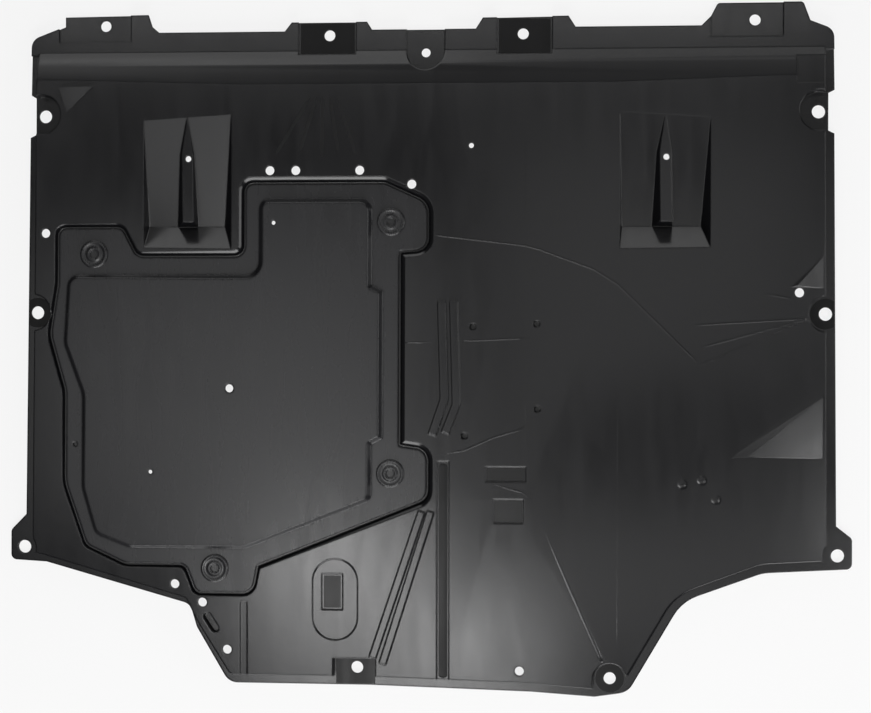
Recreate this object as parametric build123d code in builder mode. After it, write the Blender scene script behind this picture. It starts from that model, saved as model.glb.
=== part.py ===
from build123d import *
from math import cos, radians, sin, tan
import os

# Engine splash shield, laid down with its road face up: X across the car, Y to the front, Z towards the road.
# Lengths are millimetres. Z = 0 is the mounting plane. The left half carries a service opening with a lid.

os.makedirs("parts", exist_ok=True)

# Overall
half_width = 421.5          # the outer edges of the two rear ears
half_length = 343.5         # the front right tab and the rear edge
wall = 2.5                  # skin of both mouldings, the same everywhere
deck_top = 22.5             # road face of the deck above the mounting plane
front_top = 6.5             # road face of the front flange
deck_draft = 5.0            # degrees, so that the moulding leaves its tool
far = 30.0                  # how far a cutting solid runs past the moulding

# Fastening holes to the car
front_bolt_x, front_bolt_y = 325.5, 326.5
inner_bolt_x, inner_bolt_y = 97.0, 315.0
centre_bolt_y = 297.0
cup_bolt_x, cup_bolt_y = 387.5, 235.5
side_bolt_x, side_bolt_y = 395.0, 36.5
ear_bolt_x, ear_bolt_y = 407.5, -201.0
rear_left_bolt = (-67, -318)
rear_right_bolt = (185, -325)
front_bolt_r = 5.5
centre_bolt_r = 4.5
side_bolt_r = 6.5
rear_bolt_r = 6.0

# Seats pressed down to the mounting plane round those holes
cup_r = 20.0
side_cup_r = 18.0
ear_cup_r = 16.0
centre_cup_r = 19.0
rear_cup_r = 17.0
front_pads = [(-373, -299, 310), (-128, -70, 295), (71, 126, 294), (282, 353, 310)]    # left, right, rear edge
rear_pad = (-90, -47, -307)                                                           # left, right, front edge
corner_step = (365, 410, 262, 291)                                                    # left, right, rear, front
corner_step_top = 12.0

# Wedge ducts: flush with the deck at the front, deepest in front of the sloping end wall
duct_x = 237.5
duct_width = 89.0
duct_front, duct_deep, duct_rear = 235.0, 123.0, 100.0
duct_floor = 4.5
duct_draft_left, duct_draft_right = 2.0, 9.0
fin_front = 232.0
fin_left, fin_right = 4.5, 6.5          # half widths of the fin's crest at its deep end
fin_bulge, fin_bulge_y = 5.5, 195.0     # half width of the crest where it is widest for its length
fin_draft_left, fin_draft_right = 8.0, 1.0
fin_end_draft = 4.0
fin_drain_y, fin_drain_r = 190.0, 3.0

# Service opening and its lid
seat_top = 15.0             # ledge in the shield that the lid's rim lies on
lid_gap = 2.0               # between the lid's rim and the shield, all round
ledge_lap = 3.0             # how far the ledge reaches under the lid's pan
pan_proud = 1.0             # the lid's pan stands this far above the deck
pan_draft = 35.0            # degrees, slope of the pan's wall
seat_draft = 18.0           # degrees, slope of the step down to the ledge
seat_flare_foot = 20.2      # the step flares outwards above this height
seat_flare = 52.0           # degrees, slope of the flare

# Lid fasteners, two at the inner ears and one at each of the others
fastener_points = [(-333, 95), (-33, 127), (-33, -123), (-209, -219)]
shank_r = 3.25
shank_clearance = 0.4
head_r, head_height = 14.0, 2.4
socket_r, socket_depth = 4.2, 2.0
shank_tip = 7.0             # height of the stud's tip
clip_length, clip_width, clip_thickness = 20.0, 14.0, 0.8
clip_clearance = 0.3        # between the shank and the flats of the clip's hexagonal hole

# Beads, grooves and dents
bead_height = 2.0
bead_width = 8.0
bead_paths = [[(18, 48), (21, -49), (9, -84)], [(30, 48), (33, -54), (22, -82)]]
rib_paths = [[(-50, -306), (-1, -160)], [(-40, -312), (8, -160)]]
rib_width = 7.0
groove_depth = 3.0
groove_edge = [(14, -360), (26, -360), (26, -110), (14, -110)]
step_depth = 2.0
step_edge = [(-183, -360), (-176, -360), (-176, -252), (-183, -252)]
dent_depth = 1.5
dent = (-87.5, -248.5, 81, 45, 90)                # x, y, long, wide, turn
pockets = [(62, 102, -130, -115), (69.5, 99.5, -171, -147)]    # left, right, rear, front
nest = (-101, -80, -259, -223)                   # left, right, rear, front
nest_depth = 3.5
dish_tip, dish_front, dish_corner = (318, -104, 1.4), (396, -45, 2.2), (396, -104, 5.7)    # x, y, depth
slash = (-212.5, -273, 22, 8, -57)               # x, y, long, wide, turn
slash_top = 10.0

# Plain holes in the deck and in the lid
deck_holes = [(-382, 116), (-154, 178), (-128, 178), (-64, 178), (-12, 164), (368, 57), (-249, -235),
              (-221, -253), (-196, -300), (96, -317)]
deck_hole_r = 4.5
drain_holes = [(47, 202)]
drain_r = 2.5
lid_drain, lid_drain_r = (-194, -39), 4.0
lid_vents, lid_vent_r = [(-274, -123), (-352, -96), (-150, 126)], 2.0

# Blind sockets with a square post behind each
sockets = [(41, -85), (113, -58), (112, 26), (49, 23)]
blind_r, blind_depth = 3.25, 8.0
post_width, post_length = 12.0, 11.0

# Outlines run counter-clockwise. Each corner is (x, y), or (x, y, radius) where it is rounded.
# Outer edge of the mounting flange, from the front left cup
outer_edge = [
    (-402, 257), (-397, 254), (-397, 217), (-403, 214), (-406, -168), (-half_width, -184, 6),
    (-half_width, -214, 6), (-385, -216), (-237, -257, 12), (-230, -280, 12), (-197, -335.5, 16), (-54, -335.5),
    (106, -339.5), (170, -half_length), (203, -338.5, 18), (256, -248, 45), (335, -219, 40), (half_width, -214, 6),
    (half_width, -184, 6), (406, -172), (403, 214), (397, 217), (397, 254), (403, 257), (402, 316, 12), (379, 325),
    (372, half_length, 4), (289, half_length, 4), (282, 330), (273, 321), (149, 321), (142, 332), (57, 331),
    (50, 320), (-54, 320), (-59, 328), (-135, 328), (-142, 319), (-270, 319), (-277, 325), (-281, 337),
    (-367, 336), (-367, 326), (-401, 313, 12),
]

# Foot of the deck's side wall; the front is closed off by the ramp
deck_edge = [
    (-396.5, -206), (-384, -209), (-239, -250.5), (-226, -276), (-194, -326.5, 10), (-54, -326.5), (106, -330.5),
    (168, -335), (197, -331), (249.5, -241.5, 54), (333, -210, 40), (396.5, -206), (393.5, 330), (-393.5, 330),
]

# Edge of the step that the lid is let into, and edge of the lid's raised pan
seat_edge = [
    (-371, 66), (-379, 14, 30), (-363, -42, 30), (-363, -135, 40), (-341, -198, 14), (-300, -217, 20),
    (-240, -217, 8), (-229, -245, 10), (-170, -245, 14), (-165, -217), (5, -148.5, 14), (5, -98, 14),
    (-23, -94), (-23, 96), (5, 98, 14), (5, 147, 18), (-39, 167, 14), (-181, 167, 10), (-181, 94, 10),
    (-289, 94, 10), (-304, 123, 10), (-371, 123, 10),
]
pan_edge = [
    (-365, 5, 20), (-346, -46, 20), (-346, -140, 30), (-332, -187, 14), (-296, -201, 14), (-178, -201, 20),
    (-50, -151, 12), (-50, -95), (-39, -89), (-39, 60), (-50, 65), (-50, 152, 14), (-167, 152, 12),
    (-167, 76, 12), (-361, 76, 14),
]


def facet(a, b, c, inside) -> Plane:
    """The plane through three points, facing away from a fourth."""
    normal = (Vector(*b) - Vector(*a)).cross(Vector(*c) - Vector(*a)).normalized()
    if (Vector(*inside) - Vector(*a)).dot(normal) > 0:
        normal = normal * -1
    return Plane(origin=a, z_dir=normal)


def within(planes, lift) -> Part:
    """The convex solid behind all planes, each moved out along its normal by lift."""
    with BuildPart() as form:
        Box(4 * half_width, 4 * half_length, 8 * deck_top)
        for plane in planes:
            split(bisect_by=plane.offset(lift), keep=Keep.BOTTOM)
    return form.part


def outline(points, grow=0.0) -> Sketch:
    """The face inside an outline, grown all round by grow."""
    with BuildSketch() as face:
        with BuildLine():
            Polyline(*[point[:2] for point in points], close=True)
        make_face()
        rounded = [point for point in points if len(point) > 2]
        for radius in sorted({point[2] for point in rounded}):
            corners = [face.vertices().sort_by_distance(point[:2])[0] for point in rounded if point[2] == radius]
            fillet(corners, radius)
        if grow:
            offset(amount=grow, kind=Kind.ARC if rounded else Kind.INTERSECTION)
    return face.sketch


def prism(points, low, high, grow=0.0, draft=0.0) -> Part:
    """An upright prism over an outline, grown by grow and drawn in by draft degrees."""
    with BuildPart() as form:
        with BuildSketch(Plane.XY.offset(low)):
            add(outline(points, grow))
        extrude(amount=high - low, taper=draft)
    return form.part


def box_over(left, right, rear, front):
    """The four corners of an upright rectangle."""
    return [(left, rear), (right, rear), (right, front), (left, front)]


def drop(x, y, depth):
    """A point of the road face, so far below the deck's highest level."""
    return (x, y, deck_top - depth)


# The deck's road face is the lowest of these slightly tilted planes: ramp, wings, and the falling rear part
deep_inside = (0, 0, 0)
ramp_front, ramp_rear = 299, 274
ramp_bend = 10.0            # how far the ramp's upper edge is bent over, to both sides
ramp_bend_drop = ramp_bend * (deck_top - front_top) / (ramp_front - ramp_rear)
road_facets = [
    facet(drop(0, 0, 0), drop(1, 0, 0), drop(0, 1, 0), deep_inside),
    facet((0, ramp_front, front_top), (1, ramp_front, front_top), drop(0, ramp_rear, 0), deep_inside),
    facet(drop(0, ramp_rear + ramp_bend, ramp_bend_drop), drop(1, ramp_rear + ramp_bend, ramp_bend_drop),
          drop(0, ramp_rear - ramp_bend, 0), deep_inside),
    facet(drop(-180, 0, 0), drop(-180, 100, 0), drop(-395, 0, 2.2), deep_inside),
    facet(drop(193, 0, 0), drop(193, 100, 0), drop(395, 0, 2.2), deep_inside),
    facet(drop(-180, -59, 0), drop(-395, -59, 2.2), drop(-290, -240, 3.2), deep_inside),
    facet(drop(193, -104, 0), drop(395, -104, 2.2), drop(300, -152, 2.2), deep_inside),
    facet(drop(193, -152, 1.0), drop(395, -152, 3.2), drop(300, -240, 3.8), deep_inside),
    facet(drop(-180, -155, 0), drop(107, -147, 0), drop(0, -335, 5.0), deep_inside),
    facet(drop(107, -147, 0), drop(175, -302, 4.1), drop(300, -147, 4.4), deep_inside),
]


def duct(centre, grow) -> Part:
    """The air space of one wedge duct, less the fin that divides it."""
    left, right = centre - duct_width / 2, centre + duct_width / 2
    inside = (centre, duct_deep, deck_top)
    air = within([
        facet((left, duct_front, deck_top), (right, duct_front, deck_top), (left, duct_deep, duct_floor), inside),
        facet((left, duct_rear, deck_top), (right, duct_rear, deck_top), (left, duct_deep, duct_floor), inside),
        facet((left, 0, deck_top), (left, 1, deck_top), (left + duct_draft_left, 0, duct_floor), inside),
        facet((right, 0, deck_top), (right, 1, deck_top), (right - duct_draft_right, 0, duct_floor), inside),
    ], grow)
    tip = (centre, fin_front, deck_top)
    middle = (centre, (duct_deep + fin_front) / 2, duct_floor)
    bulge_left = (centre - fin_bulge, fin_bulge_y, deck_top)
    bulge_right = (centre + fin_bulge, fin_bulge_y, deck_top)
    fin = within([
        facet(tip, bulge_left, (centre - fin_bulge - fin_draft_left, fin_bulge_y, duct_floor), middle),
        facet(tip, bulge_right, (centre + fin_bulge + fin_draft_right, fin_bulge_y, duct_floor), middle),
        facet(bulge_left, (centre - fin_left, duct_deep, deck_top),
              (centre - fin_left - fin_draft_left, duct_deep, duct_floor), middle),
        facet(bulge_right, (centre + fin_right, duct_deep, deck_top),
              (centre + fin_right + fin_draft_right, duct_deep, duct_floor), middle),
        facet((0, duct_deep + fin_end_draft, deck_top), (1, duct_deep + fin_end_draft, deck_top),
              (0, duct_deep, duct_floor), middle),
    ], -grow)
    with BuildPart() as space:
        add(air)
        add(fin, mode=Mode.SUBTRACT)
    return space.part


def corner_dish(grow) -> Part:
    """The air above the three-cornered dish at the right edge, whose rear side is a small step."""
    return within([
        facet(drop(*dish_tip), drop(*dish_front), drop(*dish_corner), drop(0, 0, -far)),
        facet(drop(*dish_tip), drop(*dish_corner), (dish_tip[0], dish_tip[1], 0), drop(*dish_front)),
    ], grow)


def seat_air(foot, grow, draft, inset) -> Part:
    """The air over the lid's seat from one height up, inside a wall that slopes outwards by draft degrees."""
    skin = inset * (1 - sin(radians(draft))) / cos(radians(draft))
    return prism(seat_edge, foot - inset, deck_top + wall - inset, grow + skin, -draft)


def recess(points, depth, inset) -> Part:
    """What a recess of one depth takes out from the deck: the prism above the lowered road face."""
    with BuildPart() as cut:
        add(prism(points, 0, deck_top + far, inset))
        add(within(road_facets, -depth - inset), mode=Mode.SUBTRACT)
    return cut.part


def oval(x, y, long, wide, turn, inset, depth) -> Part:
    """A recess with round ends."""
    with BuildPart() as cut:
        with BuildSketch():
            with Locations(Location((x, y, 0), (0, 0, turn))):
                SlotOverall(long + 2 * inset, wide + 2 * inset)
        extrude(amount=deck_top + far)
        add(within(road_facets, -depth - inset), mode=Mode.SUBTRACT)
    return cut.part


def beads(paths, width, inset) -> Part:
    """Beads that stand up from the deck along a set of paths."""
    with BuildPart() as form:
        with BuildSketch():
            for path in paths:
                with BuildLine():
                    Polyline(*path)
                trace(line_width=width - 2 * inset)
        extrude(amount=deck_top + far)
        add(within(road_facets, bead_height - inset), mode=Mode.INTERSECT)
    return form.part


def under_skin(inset) -> Part:
    """All that lies under one face of the shield: the road face at inset 0, the engine face at inset wall."""
    with BuildPart() as body:
        add(prism(deck_edge, 0, deck_top + far, -inset, deck_draft))
        add(within(road_facets, -inset), mode=Mode.INTERSECT)
        add(beads(bead_paths, bead_width, inset))
        add(prism(box_over(-2 * half_width, 2 * half_width, ramp_front - wall, 2 * half_length), 0,
                  front_top - inset, -inset))

        # Seats at the mounting plane
        with BuildSketch(Plane.XY.offset(wall - inset)):
            with Locations((-cup_bolt_x, cup_bolt_y), (cup_bolt_x, cup_bolt_y)):
                Circle(cup_r + inset)
            with Locations((-side_bolt_x, side_bolt_y), (side_bolt_x, side_bolt_y)):
                Circle(side_cup_r + inset)
            with Locations((-ear_bolt_x, ear_bolt_y), (ear_bolt_x, ear_bolt_y)):
                Circle(ear_cup_r + inset)
            with Locations((0, centre_bolt_y)):
                Circle(centre_cup_r + inset)
            with Locations(rear_right_bolt):
                Circle(rear_cup_r + inset)
        extrude(amount=deck_top + far, mode=Mode.SUBTRACT)
        open_seats = [box_over(left, right, rear, half_length + far) for left, right, rear in front_pads]
        open_seats.append(box_over(-centre_cup_r, centre_cup_r, centre_bolt_y, half_length + far))
        open_seats.append(box_over(rear_pad[0], rear_pad[1], -half_length - far, rear_pad[2]))
        open_seats.append(box_over(rear_right_bolt[0] - rear_cup_r, rear_right_bolt[0] + rear_cup_r,
                                   -half_length - far, rear_right_bolt[1]))
        for seat in open_seats:
            add(prism(seat, wall - inset, deck_top + far, inset), mode=Mode.SUBTRACT)
        add(prism(box_over(*corner_step), corner_step_top - inset, deck_top + far, inset), mode=Mode.SUBTRACT)

        # Ducts, grooves, dents and the step for the lid
        for centre in (-duct_x, duct_x):
            add(duct(centre, inset), mode=Mode.SUBTRACT)
        add(corner_dish(inset), mode=Mode.SUBTRACT)
        add(recess(groove_edge, groove_depth, inset), mode=Mode.SUBTRACT)
        add(recess(step_edge, step_depth, inset), mode=Mode.SUBTRACT)
        add(oval(*dent, inset, dent_depth), mode=Mode.SUBTRACT)
        for pocket in pockets:
            add(recess(box_over(*pocket), dent_depth, inset), mode=Mode.SUBTRACT)
        add(recess(box_over(*nest), nest_depth, inset), mode=Mode.SUBTRACT)
        x, y, long, wide, turn = slash
        with BuildSketch(Plane.XY.offset(slash_top - inset)):
            with Locations(Location((x, y, 0), (0, 0, turn))):
                SlotOverall(long + 2 * inset, wide + 2 * inset)
        extrude(amount=far, mode=Mode.SUBTRACT)
        add(seat_air(seat_top, 0.0, seat_draft, inset), mode=Mode.SUBTRACT)
        flare_grow = (seat_flare_foot - seat_top) * tan(radians(seat_draft))
        add(seat_air(seat_flare_foot, flare_grow, seat_flare, inset), mode=Mode.SUBTRACT)
        add(beads(rib_paths, rib_width, inset))
    return body.part


# Shield: the skin between the two faces, with the mounting flange round it
with BuildPart() as splash_shield:
    add(under_skin(0.0))
    add(prism(outer_edge, 0, wall))
    add(under_skin(wall), mode=Mode.SUBTRACT)
    add(prism(outer_edge, 0, deck_top + far), mode=Mode.INTERSECT)

    # Posts behind the blind sockets
    with BuildSketch(Plane.XY.offset(deck_top - post_length)):
        with Locations(*sockets):
            Rectangle(post_width, post_width)
    extrude(amount=post_length - wall / 2)
    with BuildSketch(Plane.XY.offset(deck_top - blind_depth)):
        with Locations(*sockets):
            Circle(blind_r)
    extrude(amount=far, mode=Mode.SUBTRACT)

    # Opening under the lid's pan
    add(prism(pan_edge, 0, deck_top + far, -ledge_lap), mode=Mode.SUBTRACT)

    # Holes
    with BuildSketch():
        with Locations((-front_bolt_x, front_bolt_y), (front_bolt_x, front_bolt_y),
                       (-inner_bolt_x, inner_bolt_y), (inner_bolt_x, inner_bolt_y)):
            Circle(front_bolt_r)
        with Locations((0, centre_bolt_y)):
            Circle(centre_bolt_r)
        with Locations((-cup_bolt_x, cup_bolt_y), (cup_bolt_x, cup_bolt_y), (-side_bolt_x, side_bolt_y),
                       (side_bolt_x, side_bolt_y), (-ear_bolt_x, ear_bolt_y), (ear_bolt_x, ear_bolt_y)):
            Circle(side_bolt_r)
        with Locations(rear_left_bolt, rear_right_bolt):
            Circle(rear_bolt_r)
        with Locations(*deck_holes):
            Circle(deck_hole_r)
        with Locations(*drain_holes):
            Circle(drain_r)
        with Locations((-duct_x + 1, fin_drain_y), (duct_x + 1, fin_drain_y)):
            Circle(fin_drain_r)
        with Locations(*fastener_points):
            Circle(shank_r + shank_clearance)
    extrude(amount=deck_top + far, mode=Mode.SUBTRACT)

splash_shield.part.label = "splash_shield"
export_step(splash_shield.part, "parts/splash_shield.step")


def pan_form(inset) -> Part:
    """All that lies under one face of the lid's pan: the road face at inset 0, the engine face at inset wall."""
    with BuildPart() as form:
        add(prism(pan_edge, seat_top, deck_top + wall, -inset / cos(radians(pan_draft)), pan_draft))
        add(within(road_facets, pan_proud - inset), mode=Mode.INTERSECT)
    return form.part


# Lid: a rim lying on the ledge and a pan raised to the deck's level
rim_top = seat_top + wall
with BuildPart() as access_panel:
    add(prism(seat_edge, seat_top, rim_top, -lid_gap))
    add(pan_form(0.0))
    add(pan_form(wall), mode=Mode.SUBTRACT)
    with BuildSketch(Plane.XY.offset(seat_top)):
        with Locations(*fastener_points):
            Circle(shank_r + shank_clearance)
        with Locations(lid_drain):
            Circle(lid_drain_r)
        with Locations(*lid_vents):
            Circle(lid_vent_r)
    extrude(amount=far, mode=Mode.SUBTRACT)

access_panel.part.label = "access_panel"
export_step(access_panel.part, "parts/access_panel.step")

# Studs, and the flat clips pushed over their ends behind the ledge, one set for each ear of the lid
ledge_bottom = seat_top - wall
for number, (x, y) in enumerate(fastener_points, start=1):
    with BuildPart() as stud:
        with BuildSketch(Plane.XY.offset(shank_tip)):
            with Locations((x, y)):
                Circle(shank_r)
        extrude(amount=rim_top - shank_tip)
        with BuildSketch(Plane.XY.offset(rim_top)):
            with Locations((x, y)):
                Circle(head_r)
        extrude(amount=head_height)
        with BuildSketch(Plane.XY.offset(rim_top + head_height - socket_depth)):
            with Locations((x, y)):
                RegularPolygon(socket_r, 6)
        extrude(amount=far, mode=Mode.SUBTRACT)
    stud.part.label = f"fastener_{number}_stud"
    export_step(stud.part, f"parts/fastener_{number}_stud.step")

    with BuildPart() as clip:
        with BuildSketch(Plane.XY.offset(ledge_bottom - clip_thickness)):
            with Locations((x, y)):
                Rectangle(clip_length, clip_width)
                RegularPolygon(shank_r + clip_clearance, 6, major_radius=False, mode=Mode.SUBTRACT)
        extrude(amount=clip_thickness)
    clip.part.label = f"fastener_{number}_clip"
    export_step(clip.part, f"parts/fastener_{number}_clip.step")
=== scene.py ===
"""Engine splash shield, laid down with its road face up and seen from above under soft studio light."""

import logging
import math
from abc import ABC, abstractmethod
from collections.abc import Sequence
from dataclasses import dataclass, field, replace
from enum import Enum
from typing import Self

import bmesh
import bpy
from mathutils import Matrix, Vector
from mathutils.bvhtree import BVHTree


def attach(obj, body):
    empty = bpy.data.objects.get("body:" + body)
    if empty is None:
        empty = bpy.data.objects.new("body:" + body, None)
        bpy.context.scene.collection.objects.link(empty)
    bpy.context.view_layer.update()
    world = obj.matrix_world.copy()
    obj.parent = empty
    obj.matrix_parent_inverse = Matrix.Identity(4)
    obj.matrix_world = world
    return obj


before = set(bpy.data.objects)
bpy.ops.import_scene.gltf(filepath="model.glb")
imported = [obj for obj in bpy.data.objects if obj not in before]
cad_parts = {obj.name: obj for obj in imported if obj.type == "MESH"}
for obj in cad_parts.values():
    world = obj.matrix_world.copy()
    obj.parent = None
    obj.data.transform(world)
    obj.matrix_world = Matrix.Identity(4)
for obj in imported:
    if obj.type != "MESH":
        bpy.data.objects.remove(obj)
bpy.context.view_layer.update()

MM = 0.001
ROOT = "root"
CAMERA_PLACE_MM = (178.4, -6.5, 1993.0)  # the ceiling boxes are placed by it too
Point = tuple[float, float]
Region = tuple[float, float, float, float]  # left, right, rear and front
log = logging.getLogger("splash_shield")


def linear(hex_colour: str) -> tuple[float, float, float, float]:
    """Turn an sRGB hex value into a linear colour.

    Args:
        hex_colour: six hex digits, with or without a leading hash.

    Returns:
        Red, green, blue and an alpha of one, linear.
    """
    digits = hex_colour.lstrip("#")
    shares = [int(digits[start:start + 2], 16) / 255 for start in (0, 2, 4)]
    red, green, blue = [share / 12.92 if share <= 0.04045 else ((share + 0.055) / 1.055) ** 2.4 for share in shares]
    return red, green, blue, 1.0


def add_node(tree: bpy.types.NodeTree, kind: str, inputs: dict | None = None, **settings: object) -> bpy.types.Node:
    """Add one node with its settings and its links.

    Args:
        tree: the node tree of a material or world.
        kind: Blender's name of the node type.
        inputs: for each input, by name or number, either the output to link or the value to set.
        settings: attributes of the node.

    Returns:
        The new node.
    """
    node = tree.nodes.new(kind)
    for name, value in settings.items():
        setattr(node, name, value)
    for key, value in (inputs or {}).items():
        if isinstance(value, bpy.types.NodeSocket):
            tree.links.new(value, node.inputs[key])
        else:
            node.inputs[key].default_value = value
    return node


def new_material(name: str) -> tuple[bpy.types.Material, bpy.types.NodeTree]:
    """Make a material with an empty node tree.

    Args:
        name: the finish's name.

    Returns:
        The material and its tree.
    """
    material = bpy.data.materials.new(name)
    material.use_nodes = True
    material.node_tree.nodes.clear()
    return material, material.node_tree


def socket(node: bpy.types.Node, name: str, kind: str) -> bpy.types.NodeSocket:
    """Find an output that shares its name with outputs of other types.

    Args:
        node: the node.
        name: the output's name.
        kind: its data type.

    Returns:
        The output.
    """
    return next(output for output in node.outputs if output.name == name and output.type == kind)


def new_object(name: str, data: bpy.types.ID) -> bpy.types.Object:
    """Make an object and link it into the scene.

    Args:
        name: the object's name.
        data: its mesh, light or camera.

    Returns:
        The object.
    """
    made = bpy.data.objects.new(name, data)
    bpy.context.scene.collection.objects.link(made)
    return made


@dataclass(frozen=True)
class MouldedPlastic:
    """An injection-moulded thermoplastic skin with a spark-eroded grain.

    The grain scatters the highlight into a satin sheen, the slow waviness of a large thin moulding bends
    the edges of each reflection, and flow marks fan out across it as faint changes of gloss.
    """

    name: str
    colour: str
    flow_colour: str
    ior: float = 1.49            # polypropylene
    roughness: float = 0.30
    roughness_spread: float = 0.07
    grain_mm: float = 1.6        # the real grain is 0.1 to 0.3 mm, drawn this coarse so that it shows at all
    grain_depth_mm: float = 0.012
    warp_mm: float = 150.0       # length of the moulding's slow waves
    warp_depth_mm: float = 0.5
    flow_mm: float = 90.0
    flow_stretch: float = 5.0
    flow_turn: float = 0.35      # in radians
    flow_octaves: float = 4.0
    flow_bend: float = 0.8
    flow_range: Point = (0.3, 0.7)  # what the noise seldom leaves
    scuff_mm: float = 14.0
    scuff_depth_mm: float = 0.02
    edge_radius_mm: float = 2.0  # outer radius of the moulding's edges and steps
    edge_samples: int = 8

    def material(self) -> bpy.types.Material:
        """Build the node tree of this finish.

        Returns:
            The finished material.
        """
        material, tree = new_material(self.name)
        place = add_node(tree, "ShaderNodeTexCoord").outputs["Object"]
        grain, warp, scuff = [
            add_node(tree, "ShaderNodeTexNoise", {"Vector": place, "Scale": 1 / (size_mm * MM), "Detail": octaves,
                                                  "Roughness": share}).outputs["Fac"]
            for size_mm, octaves, share in ((self.grain_mm, 3.0, 0.6), (self.warp_mm, 1.0, 0.35),
                                            (self.scuff_mm, 5.0, 0.62))]
        stretched = add_node(tree, "ShaderNodeMapping", {"Vector": place, "Rotation": (0.0, 0.0, self.flow_turn),
                                                         "Scale": (self.flow_stretch, 1.0, 1.0)})
        flow = add_node(tree, "ShaderNodeTexNoise",
                        {"Vector": stretched.outputs["Vector"], "Detail": self.flow_octaves,
                         "Scale": 1 / (self.flow_mm * MM), "Distortion": self.flow_bend})
        gloss = add_node(tree, "ShaderNodeMapRange",
                         {"Value": flow.outputs["Fac"], "From Min": self.flow_range[0],
                          "From Max": self.flow_range[1],
                          "To Min": self.roughness - self.roughness_spread,
                          "To Max": self.roughness + self.roughness_spread})
        speckle = add_node(tree, "ShaderNodeMath",
                           {0: scuff, 1: self.roughness_spread}, operation="MULTIPLY")
        rough = add_node(tree, "ShaderNodeMath", {0: gloss.outputs["Result"], 1: speckle.outputs[0]})
        colour = add_node(tree, "ShaderNodeMix", {"Factor": flow.outputs["Fac"], "A": linear(self.colour),
                                                  "B": linear(self.flow_colour)}, data_type="RGBA")
        normal = add_node(tree, "ShaderNodeBevel", {"Radius": self.edge_radius_mm * MM},
                          samples=self.edge_samples).outputs["Normal"]
        for pattern, depth_mm in ((warp, self.warp_depth_mm), (scuff, self.scuff_depth_mm),
                                  (grain, self.grain_depth_mm)):
            normal = add_node(tree, "ShaderNodeBump", {"Height": pattern, "Strength": 1.0, "Normal": normal,
                                                       "Distance": depth_mm * MM}).outputs["Normal"]
        shader = add_node(tree, "ShaderNodeBsdfPrincipled",
                          {"Base Color": socket(colour, "Result", "RGBA"), "Roughness": rough.outputs[0],
                           "IOR": self.ior, "Normal": normal})
        add_node(tree, "ShaderNodeOutputMaterial", {"Surface": shader.outputs["BSDF"]})
        return material


@dataclass(frozen=True)
class ZincPlatedSteel:
    """Spring steel strip, zinc plated: bright bluish grey metal with fine rolling lines along its length."""

    name: str = "zinc_plated_spring_steel"
    colour: str = "#B9BCC0"
    roughness: float = 0.34
    roughness_spread: float = 0.12
    line_mm: float = 0.5
    line_stretch: float = 14.0
    line_octaves: float = 3.0
    line_depth_mm: float = 0.01

    def material(self) -> bpy.types.Material:
        """Build the node tree of this finish.

        Returns:
            The finished material.
        """
        material, tree = new_material(self.name)
        place = add_node(tree, "ShaderNodeTexCoord").outputs["Object"]
        stretched = add_node(tree, "ShaderNodeMapping",
                             {"Vector": place, "Scale": (1.0 / self.line_stretch, 1.0, 1.0)})
        lines = add_node(tree, "ShaderNodeTexNoise",
                         {"Vector": stretched.outputs["Vector"], "Detail": self.line_octaves,
                          "Scale": 1 / (self.line_mm * MM)})
        rough = add_node(tree, "ShaderNodeMapRange",
                         {"Value": lines.outputs["Fac"], "To Min": self.roughness - self.roughness_spread,
                          "To Max": self.roughness + self.roughness_spread})
        bump = add_node(tree, "ShaderNodeBump", {"Height": lines.outputs["Fac"], "Strength": 1.0,
                                                 "Distance": self.line_depth_mm * MM})
        shader = add_node(tree, "ShaderNodeBsdfPrincipled",
                          {"Base Color": linear(self.colour), "Metallic": 1.0,
                           "Roughness": rough.outputs["Result"], "Normal": bump.outputs["Normal"]})
        add_node(tree, "ShaderNodeOutputMaterial", {"Surface": shader.outputs["BSDF"]})
        return material


@dataclass(frozen=True)
class LitAcrylicFloor:
    """A light table's opal acrylic top: near white, matt, and glowing softly, so that it shows through the holes."""

    name: str = "opal_acrylic_floor"
    colour: str = "#F6F6F6"
    glow: float = 0.9
    reflectance: float = 0.12    # low, so that the soft boxes leave no pools of light on it
    specular_level: float = 0.1
    roughness: float = 0.85

    def material(self) -> bpy.types.Material:
        """Build the node tree of this finish.

        Returns:
            The finished material.
        """
        material, tree = new_material(self.name)
        shader = add_node(tree, "ShaderNodeBsdfPrincipled",
                          {"Base Color": (*[self.reflectance] * 3, 1.0), "Roughness": self.roughness,
                           "Specular IOR Level": self.specular_level, "Emission Color": linear(self.colour),
                           "Emission Strength": self.glow})
        add_node(tree, "ShaderNodeOutputMaterial", {"Surface": shader.outputs["BSDF"]})
        return material


# Polypropylene from a finely eroded tool: near black, with a clear sheen that fades softly into the dark.
SHIELD_PLASTIC = MouldedPlastic(name="moulded_polypropylene_black", colour="#0E0E10", flow_colour="#141416",
                                roughness=0.19, roughness_spread=0.02, warp_depth_mm=0.22,
                                scuff_mm=20.0, scuff_depth_mm=0.045)
# The same plastic on small facets: the edges stay sharp, so each facet reads as one flat light or dark patch.
CRISP_PLASTIC = replace(SHIELD_PLASTIC, name="moulded_polypropylene_black_crisp", edge_radius_mm=0.3)
# Talc-filled polypropylene: the filler greys the black and dulls the sheen, so the lid reads lighter and flatter.
LID_PLASTIC = MouldedPlastic(name="moulded_polypropylene_talc_filled", colour="#1B1B1D", flow_colour="#222224",
                             roughness=0.25, roughness_spread=0.03, warp_mm=190.0, warp_depth_mm=0.25,
                             scuff_depth_mm=0.012, edge_radius_mm=3.0)
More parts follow.
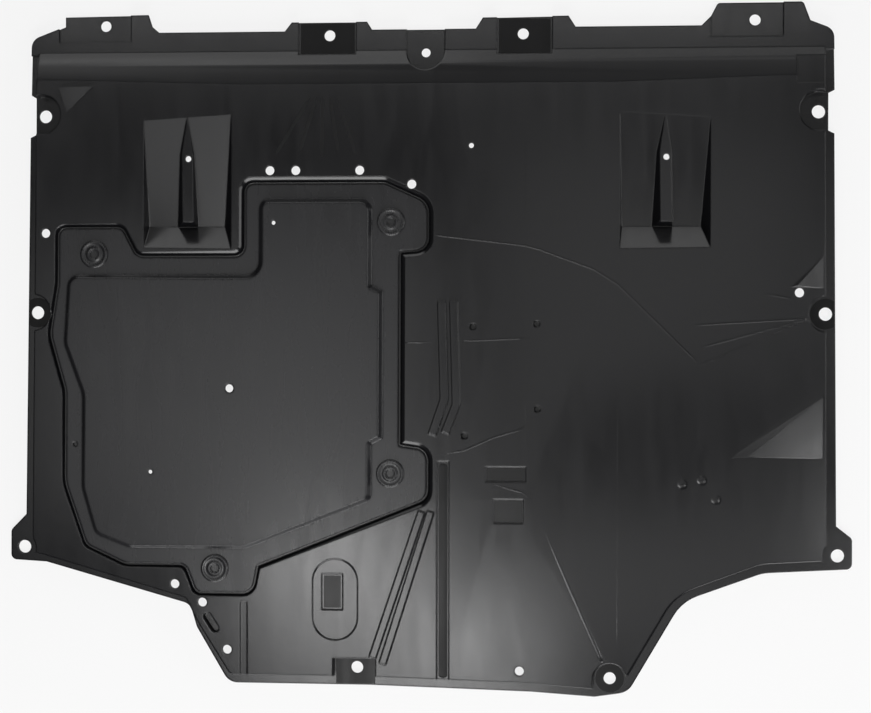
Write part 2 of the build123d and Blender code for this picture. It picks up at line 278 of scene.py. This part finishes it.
# Matt polypropylene a little darker than the shield, with a weak sheen from its low IOR: painted shade of the shallow
# fan of creases, which shows as a faint dark streak.
SHADED_FAN_CREASE = MouldedPlastic(name="moulded_polypropylene_painted_crease_shade", colour="#0C0C0D", flow_colour="#0F0F10",
                           ior=1.38, roughness=0.3, roughness_spread=0.03, warp_depth_mm=0.22)
# Darker, duller polypropylene for the pocket floors: its darker colour and lower IOR are painted shade in the pockets,
# so their floors look dark and matt.
POCKET_SHADE_PLASTIC = MouldedPlastic(name="moulded_polypropylene_painted_pocket_shade", colour="#0A0A0B", flow_colour="#0D0D0E",
                              ior=1.40, roughness=0.3, roughness_spread=0.04, grain_depth_mm=0.04,
                              edge_radius_mm=0.3)
# The same with a still lower IOR: painted shade in the bolt seats and the groove, which are darkest.
SEAT_SHADE_PLASTIC = replace(POCKET_SHADE_PLASTIC, name="moulded_polypropylene_painted_seat_shade", ior=1.33)
# Moulded nylon: finer grained and glossier than the lid, so the rings of the heads catch thin bright arcs.
STUD_NYLON = MouldedPlastic(name="moulded_nylon_black", colour="#151517", flow_colour="#1B1B1D", ior=1.53,
                            roughness=0.24, grain_mm=0.9, grain_depth_mm=0.004, warp_mm=60.0, warp_depth_mm=0.02,
                            flow_mm=12.0, scuff_mm=4.0, scuff_depth_mm=0.01, edge_radius_mm=0.6)


@dataclass(frozen=True)
class CrispSteps:
    """Keeps steep edges and the shallow steps between large flat faces crisp, while slighter tilts blend."""

    least_deg: float = 2.5       # a shallow step lies between these two angles
    most_deg: float = 12.0
    steep_deg: float = 17.5      # every edge over this is crisp
    least_area_mm2: float = 60.0  # of the faces beside a shallow step

    def group(self) -> bpy.types.GeometryNodeTree:
        """Build the node group that marks those steps as sharp.

        Returns:
            The node group.
        """
        tree = bpy.data.node_groups.new("crisp_steps", "GeometryNodeTree")
        for side in ("INPUT", "OUTPUT"):
            tree.interface.new_socket("Geometry", in_out=side, socket_type="NodeSocketGeometry")
        entry = add_node(tree, "NodeGroupInput")
        angle = add_node(tree, "GeometryNodeInputMeshEdgeAngle").outputs["Unsigned Angle"]
        area = add_node(tree, "GeometryNodeInputMeshFaceArea").outputs["Area"]
        share = add_node(tree, "ShaderNodeMath", {0: self.least_area_mm2 * MM * MM, 1: area}, operation="DIVIDE")
        smallness = add_node(tree, "GeometryNodeFieldOnDomain", {"Value": share.outputs[0]}, domain="FACE")
        over_least, under_most, beside_large, steep = [
            add_node(tree, "ShaderNodeMath", {0: value, 1: limit}, operation=operation).outputs[0]
            for value, operation, limit in ((angle, "GREATER_THAN", math.radians(self.least_deg)),
                                            (angle, "LESS_THAN", math.radians(self.most_deg)),
                                            (smallness.outputs["Value"], "LESS_THAN", 1.0),
                                            (angle, "GREATER_THAN", math.radians(self.steep_deg)))]
        shallow = add_node(tree, "ShaderNodeMath", {0: over_least, 1: under_most}, operation="MULTIPLY")
        large = add_node(tree, "ShaderNodeMath", {0: shallow.outputs[0], 1: beside_large}, operation="MULTIPLY")
        chosen = add_node(tree, "ShaderNodeMath", {0: large.outputs[0], 1: steep}, operation="MAXIMUM")
        shaded = entry.outputs["Geometry"]
        for domain in ("FACE", "EDGE"):
            shaded = add_node(tree, "GeometryNodeSetShadeSmooth", {"Geometry": shaded, "Shade Smooth": True},
                              domain=domain).outputs["Geometry"]
        marked = add_node(tree, "GeometryNodeSetShadeSmooth",
                          {"Geometry": shaded, "Selection": chosen.outputs[0], "Shade Smooth": False},
                          domain="EDGE")
        add_node(tree, "NodeGroupOutput", {"Geometry": marked.outputs["Geometry"]})
        return tree


CRISP_STEPS = CrispSteps().group()


@dataclass(frozen=True)
class BrokenEdges:
    """Gives a CAD node its finish, merges the triangles of each plane and rounds its sharp edges."""

    round_mm: float = 0.3
    segments: int = 2
    least_edge_deg: float = 32.0
    weld_mm: float = 0.01
    same_plane_deg: float = 0.3

    def dress(self, name: str, material: bpy.types.Material) -> None:
        """Dress one CAD node.

        Args:
            name: the node's name.
            material: its finish.
        """
        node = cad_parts[name]
        node.data.materials.clear()
        node.data.materials.append(material)
        weld = node.modifiers.new("weld", "WELD")
        weld.merge_threshold = self.weld_mm * MM
        planes = node.modifiers.new("whole_planes", "DECIMATE")
        planes.decimate_type = "DISSOLVE"
        planes.angle_limit = math.radians(self.same_plane_deg)
        bevel = node.modifiers.new("edge_rounding", "BEVEL")
        bevel.width = self.round_mm * MM
        bevel.segments = self.segments
        bevel.limit_method = "ANGLE"
        bevel.angle_limit = math.radians(self.least_edge_deg)
        bevel.use_clamp_overlap = True
        bevel.harden_normals = False
        node.modifiers.new("crisp_steps", "NODES").node_group = CRISP_STEPS
        node.modifiers.new("even_shading", "WEIGHTED_NORMAL").keep_sharp = True
        log.info("%s: dressed in %s", name, material.name)


@dataclass
class RoadFace:
    """Finds the height of the shield's and the lid's road face under any point, so that detail lies on it."""

    nodes: tuple[str, ...] = ("splash_shield", "access_panel")
    above_mm: float = 60.0
    trees: list[BVHTree] = field(init=False, default_factory=list)

    def __post_init__(self) -> None:
        """Read the CAD nodes once."""
        for name in self.nodes:
            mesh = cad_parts[name].data
            self.trees.append(BVHTree.FromPolygons([vertex.co for vertex in mesh.vertices],
                                                   [polygon.vertices for polygon in mesh.polygons]))

    def height(self, x_mm: float, y_mm: float) -> float:
        """Height of the road face.

        Args:
            x_mm: place across.
            y_mm: place along.

        Returns:
            The height in millimetres, or 0 where there is nothing.
        """
        start = Vector((x_mm * MM, y_mm * MM, self.above_mm * MM))
        hits = [tree.ray_cast(start, Vector((0, 0, -1)))[0] for tree in self.trees]
        return max([hit.z / MM for hit in hits if hit is not None], default=0.0)


class FineForm(ABC):
    """A low or fine form on the road face, which the CAD leaves to this scene."""

    @abstractmethod
    def add_to(self, mesh: bmesh.types.BMesh, face: RoadFace) -> None:
        """Add the form to a mesh.

        Args:
            mesh: the mesh.
            face: the road face that the form lies on.
        """


@dataclass(frozen=True)
class LineSize:
    """Width and height of a line, and the lengths over which it rises at its start and falls at its end."""

    width_mm: float
    height_mm: float
    start_fade_mm: float = 14.0
    end_fade_mm: float = 14.0


class LineKind(Enum):
    """The lines that the road face carries."""

    CREASE = LineSize(2.4, 0.45)
    MOULD_JOIN = LineSize(1.6, 0.05)
    # the low lines of the front fan of creases, whose dark tone is painted shade in their finish
    SHADED_FAN_CREASE = LineSize(3.6, 0.05, start_fade_mm=20.0)
    REAR_RIDGE = LineSize(5.0, 0.25, start_fade_mm=150.0, end_fade_mm=6.0)
    GROOVE_FLOOR = LineSize(10.0, 0.12, start_fade_mm=1.0, end_fade_mm=1.0)


@dataclass
class SurfaceLine(FineForm):
    """A low rounded line standing on the road face, such as a crease, a stiffening line or a mould join."""

    points: list[Point]
    kind: LineKind
    step_mm: float = 3.0
    least_share: float = 0.05    # of the full height, at the very ends
    end_width_share: float = 0.4
    sunk_mm: float = 0.06        # how far its ends dip into the face
    profile: tuple[Point, ...] = (  # shares of the width and of the height
        (-0.5, -0.25), (-0.36, 0.35), (-0.14, 0.9), (0.14, 0.9), (0.36, 0.35), (0.5, -0.25),
    )

    def samples(self) -> list[tuple[Vector, Vector, float]]:
        """Places along the line.

        Returns:
            For each place its position, the direction across the line, and the share of full size there.
        """
        fades = self.kind.value
        corners = [Vector(point) for point in self.points]
        lengths = [(b - a).length for a, b in zip(corners, corners[1:])]
        total, passed, found = sum(lengths), 0.0, []
        for a, b, length in zip(corners, corners[1:], lengths):
            along = (b - a) / length
            count = max(2, round(length / self.step_mm))
            for number in range(count + 1 if b is corners[-1] else count):
                here = passed + length * number / count
                size = min(1.0, here / fades.start_fade_mm + self.least_share,
                           (total - here) / fades.end_fade_mm + self.least_share)
                found.append((a + along * (here - passed), Vector((-along.y, along.x)), size))
            passed += length
        return found

    def add_to(self, mesh: bmesh.types.BMesh, face: RoadFace) -> None:
        """Lay the line on the road face.

        Args:
            mesh: the mesh that the line is added to.
            face: the road face.
        """
        full = self.kind.value
        rows = []
        for place, across, size in self.samples():
            ground = face.height(place.x, place.y)
            width = full.width_mm * (self.end_width_share + (1.0 - self.end_width_share) * size)
            row = []
            for share, rise in self.profile:
                at = place + across * (share * width)
                height = rise * full.height_mm * size - self.sunk_mm * (1.0 - size)
                row.append(mesh.verts.new((at.x * MM, at.y * MM, (ground + height) * MM)))
            rows.append(row)
        for row, following in zip(rows, rows[1:]):
            for number in range(len(self.profile) - 1):
                mesh.faces.new((row[number], following[number], following[number + 1], row[number + 1]))
        for row in (rows[0], rows[-1]):
            mesh.faces.new(row)


@dataclass
class TiltedPatch(FineForm):
    """A low flat patch on the road face, with sloping sides.

    Each corner of its top is (x, y, rise above the road face) in millimetres, and each foot (x, y).
    """

    corners: list[tuple[float, float, float]]
    feet: list[Point]
    sunk_mm: float = 0.3

    def add_to(self, mesh: bmesh.types.BMesh, face: RoadFace) -> None:
        """Set the patch on the road face.

        Args:
            mesh: the mesh that the patch is added to.
            face: the road face.
        """
        top = [mesh.verts.new((x * MM, y * MM, (face.height(x, y) + rise) * MM)) for x, y, rise in self.corners]
        foot = [mesh.verts.new((x * MM, y * MM, (face.height(x, y) - self.sunk_mm) * MM)) for x, y in self.feet]
        mesh.faces.new(top)
        for number, corner in enumerate(top):
            after = (number + 1) % len(top)
            mesh.faces.new((corner, foot[number], foot[after], top[after]))


@dataclass
class TurnedRing(FineForm):
    """A ring turned round an upright axis from a profile of (radius, height) in millimetres."""

    centre: Point
    profile: list[Point]
    base_mm: float | None = None  # what its heights count from, or None for the road face
    segments: int = 64

    def add_to(self, mesh: bmesh.types.BMesh, face: RoadFace) -> None:
        """Add the ring to a mesh.

        Args:
            mesh: the mesh.
            face: the road face.
        """
        base = face.height(*self.centre) if self.base_mm is None else self.base_mm
        rings = []
        for radius, height in self.profile:
            ring = []
            for number in range(self.segments):
                angle = 2 * math.pi * number / self.segments
                ring.append(mesh.verts.new(((self.centre[0] + radius * math.cos(angle)) * MM,
                                            (self.centre[1] + radius * math.sin(angle)) * MM,
                                            (base + height) * MM)))
            rings.append(ring)
        for inner, outer in zip(rings, rings[1:]):
            for number in range(self.segments):
                after = (number + 1) % self.segments
                mesh.faces.new((inner[number], inner[after], outer[after], outer[number]))


@dataclass
class SeatFloor(FineForm):
    """A floor in a bolt seat, darkened as painted shade, open round the hole and as wide as the seat's walls allow."""

    centre: Point
    hole_mm: float
    reach_mm: float
    left: float = -math.inf
    right: float = math.inf
    rear: float = -math.inf
    front: float = math.inf
    thickness_mm: float = 0.12
    sunk_mm: float = 0.3
    margin_mm: float = 0.5       # kept free round the hole
    beside_mm: float = 1.0       # how far from the hole the seat's height is read
    segments: int = 72

    def reach(self, angle: float) -> float:
        """Distance from the hole's axis to the floor's edge.

        Args:
            angle: direction in radians.

        Returns:
            The distance in millimetres.
        """
        x, y = self.centre
        across, along = math.cos(angle), math.sin(angle)
        limits = [self.reach_mm]
        for share, low, high in ((across, self.left - x, self.right - x), (along, self.rear - y, self.front - y)):
            if not math.isclose(share, 0.0, abs_tol=1e-6):
                limits.append((high if share > 0 else low) / share)
        return min(limits)

    def add_to(self, mesh: bmesh.types.BMesh, face: RoadFace) -> None:
        """Lay the floor in its seat.

        Args:
            mesh: the mesh that the floor is added to.
            face: the road face.
        """
        x, y = self.centre
        hole = self.hole_mm + self.margin_mm
        floor = face.height(x, y - hole - self.beside_mm)
        corners = [math.atan2(edge - y, side - x) % (2 * math.pi) for side in (self.left, self.right)
                   for edge in (self.rear, self.front) if math.isfinite(side) and math.isfinite(edge)]
        angles = sorted([2 * math.pi * number / self.segments for number in range(self.segments)] + corners)
        rows = []
        for angle in angles:
            across, along, reach = math.cos(angle), math.sin(angle), self.reach(angle)
            rows.append([mesh.verts.new(((x + across * radius) * MM, (y + along * radius) * MM, (floor + rise) * MM))
                         for radius, rise in ((hole, -self.sunk_mm), (hole, self.thickness_mm),
                                              (reach, self.thickness_mm), (reach, -self.sunk_mm))])
        for row, after in zip(rows, rows[1:] + rows[:1]):
            for number in range(len(row) - 1):
                mesh.faces.new((row[number], after[number], after[number + 1], row[number + 1]))


class Shading(Enum):
    """How the faces of a piece meet to the eye."""

    BLENDED = True
    FACETED = False


def finished_piece(name: str, forms: Sequence[FineForm], face: RoadFace, material: bpy.types.Material,
                   shading: Shading = Shading.BLENDED) -> bpy.types.Object:
    """Gather fine forms in one piece that rides on the shield.

    Args:
        name: the piece's name.
        forms: what it is made of.
        face: the road face that they lie on.
        material: its finish.
        shading: how its faces meet.

    Returns:
        The piece.
    """
    mesh = bmesh.new()
    for form in forms:
        form.add_to(mesh, face)
    bmesh.ops.recalc_face_normals(mesh, faces=mesh.faces)
    data = bpy.data.meshes.new(name)
    mesh.to_mesh(data)
    mesh.free()
    if shading is Shading.BLENDED:
        data.shade_smooth()
    data.materials.append(material)
    piece = new_object(name, data)
    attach(piece, ROOT)
    log.info("%s: %d faces", name, len(data.polygons))
    return piece


@dataclass
class ShieldMoulding:
    """The one-piece shield: its finish, its broken edges, and the fine forms of its road face."""

    face: RoadFace
    material: bpy.types.Material
    edges: BrokenEdges = BrokenEdges()
    creases: list[list[Point]] = field(default_factory=lambda: [
        [(6, 114), (59, 108), (101, 103), (115, 99), (167, 80), (191, 65), (272, -14)],
        [(21, -103), (41, -99), (70, -86), (94, -79), (104, -72)],
        [(378, 32), (262, 25)], [(378, 32), (268, 2)], [(378, 32), (262, -18)], [(368, 50), (330, 57)],
        [(354, -57), (392, -83)], [(69, -132), (98, -140), (107, -147)], [(-21, 7), (11, 8)], [(38, 9), (106, 12)],
    ])
    joins: list[list[Point]] = field(default_factory=lambda: [
        [(101, 262), (102, -107)], [(192, 262), (192, -294)],
    ])
    front_fan: list[list[Point]] = field(default_factory=lambda: [
        [(-108, 260), (-152, 188)], [(-104, 262), (-126, 190)], [(-101, 262), (-102, 184)], [(-96, 262), (-84, 188)],
        [(-90, 260), (-66, 188)],
    ])
    rear_ridge: list[Point] = field(default_factory=lambda: [(112, -158), (146, -236), (178, -308)])
    patches: list[TiltedPatch] = field(default_factory=lambda: [
        TiltedPatch([(-370, 263, 0.1), (-334, 263, 2.6), (-361, 238, 0.7)],
                    [(-370.4, 263), (-333.8, 263.2), (-361, 237.6)]),
        TiltedPatch([(366, 64, 1.8), (391, 62, 0.2), (391, 92, 0.2)],
                    [(358, 62), (391.5, 61), (391.5, 98)]),
        TiltedPatch([(318, -104, 2.3), (391, -104, 0.2), (391, -45, 1.95)],
                    [(301, -105), (391.5, -105), (391.5, -30)]),
    ])
    pockets: list[Region] = field(default_factory=lambda: [
        (63.5, 100.5, -128.5, -116.5), (71.0, 98.0, -169.5, -148.5), (-99.0, -82.0, -257.0, -225.0),
    ])
    pocket_floor_mm: float = 0.12
    groove_middle: list[Point] = field(default_factory=lambda: [(20, -111.5), (20, -326.5)])
    seat_floors: list[SeatFloor] = field(default_factory=lambda: [
        SeatFloor((-395, 36.5), 6.5, 15.0, left=-403.4), SeatFloor((395, 36.5), 6.5, 15.0, right=403.4),
        SeatFloor((-97, 315), 5.5, 40.0, left=-126.2, right=-71.8, rear=296.8, front=327.0),
        SeatFloor((97, 315), 5.5, 40.0, left=72.8, right=124.2, rear=295.8, front=330.0),
        SeatFloor((-67, -318), 6.0, 40.0, left=-88.2, right=-48.8, rear=-334.3, front=-308.8),
        SeatFloor((185, -325), 6.0, 14.0),
    ])
    lumps: list[Point] = field(default_factory=lambda: [(274, -127), (288, -146), (255, -131)])
    lump_profile: list[Point] = field(default_factory=lambda: [
        (0.3, 0.55), (1.8, 0.48), (3.4, 0.3), (4.8, 0.1), (5.6, -0.2),
    ])
    lump_segments: int = 28

    def build(self) -> None:
        """Dress the moulding and add its fine forms."""
        self.edges.dress("splash_shield", self.material)
        self.add("deck_creases", [SurfaceLine(points, LineKind.CREASE) for points in self.creases], self.material)
        self.add("deck_mould_joins", [SurfaceLine(points, LineKind.MOULD_JOIN) for points in self.joins],
                 self.material)
        self.add("rear_ridge_line", [SurfaceLine(self.rear_ridge, LineKind.REAR_RIDGE)], self.material)
        # the fan's low lines carry painted crease shade in their darker, duller finish
        self.add("front_fan_creases", [SurfaceLine(points, LineKind.SHADED_FAN_CREASE) for points in self.front_fan],
                 SHADED_FAN_CREASE.material())
        self.add("deck_gussets", self.patches, CRISP_PLASTIC.material(), Shading.FACETED)
        # pocket floors darkened with painted shade
        self.add("deck_pocket_floors", [self.floor_of(pocket) for pocket in self.pockets], POCKET_SHADE_PLASTIC.material(),
                 Shading.FACETED)
        # bolt seat and groove floors darkened with painted shade
        self.add("bolt_seat_floors", [*self.seat_floors, SurfaceLine(self.groove_middle, LineKind.GROOVE_FLOOR)],
                 SEAT_SHADE_PLASTIC.material(), Shading.FACETED)
        self.add("deck_lumps", [TurnedRing(place, self.lump_profile, segments=self.lump_segments)
                                for place in self.lumps], self.material)

    def add(self, name: str, forms: Sequence[FineForm], material: bpy.types.Material,
            shading: Shading = Shading.BLENDED) -> None:
        """Add one piece of the road face.

        Args:
            name: the piece's name.
            forms: what it is made of.
            material: its finish.
            shading: how its faces meet.
        """
        finished_piece(name, forms, self.face, material, shading)

    def floor_of(self, pocket: Region) -> TiltedPatch:
        """Cover the floor of a rectangular pocket.

        Args:
            pocket: the pocket's left, right, rear and front.

        Returns:
            The floor, level with the pocket's own.
        """
        left, right, rear, front = pocket
        rim = [(left, rear), (right, rear), (right, front), (left, front)]
        return TiltedPatch([(x, y, self.pocket_floor_mm) for x, y in rim], rim)


@dataclass
class ServiceLid:
    """The lid over the service opening: its finish and its broken edges."""

    material: bpy.types.Material
    edges: BrokenEdges = BrokenEdges()

    def build(self) -> None:
        """Dress the lid."""
        self.edges.dress("access_panel", self.material)


@dataclass
class LidFasteners:
    """The four round-headed studs that hold the lid, and the flat clips behind them."""

    face: RoadFace
    stud_material: bpy.types.Material
    clip_material: bpy.types.Material
    stud_edges: BrokenEdges = BrokenEdges()
    clip_edges: BrokenEdges = BrokenEdges(round_mm=0.1)
    points: list[Point] = field(default_factory=lambda: [(-333, 95), (-33, 127), (-33, -123), (-209, -219)])
    head_top_mm: float = 19.9
    crown: list[Point] = field(default_factory=lambda: [
        (4.6, -0.4), (4.6, 0.35), (5.2, 0.5), (6.6, 0.5), (7.4, 0.2), (8.2, 0.05), (10.6, 0.05), (11.3, 0.35),
        (12.8, 0.35), (13.5, 0.05), (13.7, -0.4),
    ])

    def build(self) -> None:
        """Dress the studs and clips and add the ringed crowns."""
        for number, point in enumerate(self.points, start=1):
            self.stud_edges.dress(f"fastener_{number}_stud", self.stud_material)
            self.clip_edges.dress(f"fastener_{number}_clip", self.clip_material)
            crown = TurnedRing(point, self.crown, self.head_top_mm)
            finished_piece(f"fastener_{number}_crown", [crown], self.face, self.stud_material)


@dataclass
class StudioLight:
    """One soft box, aimed at a point of the shield. Its glow is the radiance of its face."""

    name: str
    place_m: tuple[float, float, float]
    aim_m: tuple[float, float, float]
    size_m: tuple[float, float]
    glow: float

    @classmethod
    def in_ceiling(cls, name: str, mirrored_mm: Region, glow: float) -> Self:
        """Place a level soft box in the ceiling, where the flat deck mirrors it to the camera in one region.

        Args:
            name: the light's name.
            mirrored_mm: the region of the deck that mirrors it.
            glow: radiance of its face.

        Returns:
            The light.
        """
        left, right, rear, front = mirrored_mm
        camera_x, camera_y, height = CAMERA_PLACE_MM
        place = Vector((left + right - camera_x, rear + front - camera_y, height)) * MM
        return cls(name, tuple(place), (place.x, place.y, 0.0), (2 * (right - left) * MM, 2 * (front - rear) * MM),
                   glow)

    def build(self) -> None:
        """Add the light."""
        data = bpy.data.lights.new(self.name, "AREA")
        data.shape = "RECTANGLE"
        data.size, data.size_y = self.size_m
        data.energy = self.glow * math.pi * self.size_m[0] * self.size_m[1]
        light = new_object(self.name, data)
        light.location = self.place_m
        light.rotation_mode = "QUATERNION"
        light.rotation_quaternion = (Vector(self.aim_m) - Vector(self.place_m)).to_track_quat("-Z", "Y")
        log.info("%s: %.1f W", self.name, data.energy)


@dataclass
class Studio:
    """The pale floor, the soft boxes and the camera above."""

    floor_half_m: float = 6.0
    floor_below_mm: float = 0.2  # so that the shield's lowest faces never share its plane
    camera_yaw_deg: float = 4.82
    camera_roll_deg: float = 0.21
    focal_px: float = 2000.0
    photo_width_px: float = 871.0
    sensor_mm: float = 36.0
    clip_m: tuple[float, float] = (0.05, 50.0)
    ambient: float = 0.05
    lights: list[StudioLight] = field(default_factory=lambda: [
        StudioLight.in_ceiling("lid_fill", (-420, 0, -200, 110), 1.25),
        StudioLight.in_ceiling("right_fill", (60, 420, -70, 215), 0.75),
        StudioLight.in_ceiling("middle_fill", (50, 125, -200, -60), 0.9),
        StudioLight.in_ceiling("front_fill", (-420, 420, 322, 390), 3.2),
        StudioLight.in_ceiling("rear_left_box", (-163, -22, -305, -205), 12.5),
        StudioLight.in_ceiling("rear_left_fill", (-163, -30, -400, -305), 5.0),
        StudioLight.in_ceiling("rear_middle_box", (-30, 105, -405, -302), 12.5),
        StudioLight.in_ceiling("right_box", (486, 566, -266, -186), 20.0),
        StudioLight.in_ceiling("right_edge_box", (512, 588, 3, 79), 7.0),
        StudioLight.in_ceiling("left_box", (-560, -465, 215, 300), 3.2),
        StudioLight.in_ceiling("rear_right_fill", (130, 400, -345, -190), 1.1),
        StudioLight.in_ceiling("rear_ridge_box", (178, 232, -330, -190), 1.6),
        StudioLight("rear_low_box", (0.1, -1.7, 0.75), (0.0, 0.0, 0.0), (1.8, 1.1), 6.0),
        StudioLight("front_strip", (0.0, 1.9, 0.24), (0.0, 0.1, 0.0), (2.4, 0.38), 1.7),
        StudioLight("front_left_low_box", (-0.65, 1.9, 0.72), (-0.2, 0.28, 0.0), (1.2, 0.5), 1.25),
        StudioLight("front_left_high_box", (-0.65, 1.82, 1.02), (-0.2, 0.28, 0.0), (1.2, 0.55), 0.8),
        StudioLight("front_left_top_box", (-0.65, 1.62, 1.49), (-0.2, 0.28, 0.0), (1.2, 0.42), 0.3),
        StudioLight("front_right_low_box", (0.5, 1.9, 0.72), (0.2, 0.28, 0.0), (1.1, 0.5), 0.45),
        StudioLight("front_right_high_box", (0.5, 1.82, 1.02), (0.2, 0.28, 0.0), (1.1, 0.55), 0.5),
        StudioLight("front_right_top_box", (0.5, 1.62, 1.49), (0.2, 0.28, 0.0), (1.1, 0.42), 0.35),
        StudioLight("right_low_box", (1.8, 0.0, 0.75), (0.1, 0.0, 0.0), (1.4, 0.8), 3.0),
    ])

    def build(self) -> None:
        """Make the floor, the world, the lights and the camera."""
        self.build_floor()
        self.build_world()
        for light in self.lights:
            light.build()
        self.build_camera()

    def build_floor(self) -> None:
        """Lay the floor under the shield."""
        mesh = bmesh.new()
        half = self.floor_half_m
        mesh.faces.new([mesh.verts.new((x, y, 0.0)) for x, y in
                        ((-half, -half), (half, -half), (half, half), (-half, half))])
        data = bpy.data.meshes.new("floor")
        mesh.to_mesh(data)
        mesh.free()
        data.materials.append(LitAcrylicFloor().material())
        floor = new_object("floor", data)
        floor.location.z = -self.floor_below_mm * MM

    def build_world(self) -> None:
        """Fill the room with even pale light."""
        world = bpy.data.worlds.new("studio_room")
        world.use_nodes = True
        world.node_tree.nodes.clear()
        glow = add_node(world.node_tree, "ShaderNodeBackground",
                        {"Color": (1.0, 1.0, 1.0, 1.0), "Strength": self.ambient})
        add_node(world.node_tree, "ShaderNodeOutputWorld", {"Surface": glow.outputs["Background"]})
        bpy.context.scene.world = world

    def build_camera(self) -> None:
        """Hang the camera above the shield, tilted towards its left half."""
        data = bpy.data.cameras.new("camera")
        data.sensor_width = self.sensor_mm
        data.lens = self.sensor_mm * self.focal_px / self.photo_width_px
        data.clip_start, data.clip_end = self.clip_m
        camera = new_object("camera", data)
        turn = (Matrix.Rotation(math.radians(self.camera_yaw_deg), 4, "Y")
                @ Matrix.Rotation(math.radians(self.camera_roll_deg), 4, "Z"))
        camera.matrix_world = Matrix.Translation(Vector(CAMERA_PLACE_MM) * MM) @ turn
        bpy.context.scene.camera = camera
        bpy.context.scene.view_settings.view_transform = "Standard"
        log.info("camera: %.1f mm lens", data.lens)


def main() -> None:
    """Dress the shield, its lid and fasteners, and set up the studio."""
    logging.basicConfig(level=logging.INFO, format="%(name)s %(message)s")
    face = RoadFace()
    ShieldMoulding(face, SHIELD_PLASTIC.material()).build()
    ServiceLid(LID_PLASTIC.material()).build()
    LidFasteners(face, STUD_NYLON.material(), ZincPlatedSteel().material()).build()
    Studio().build()


if __name__ == "__main__":
    main()
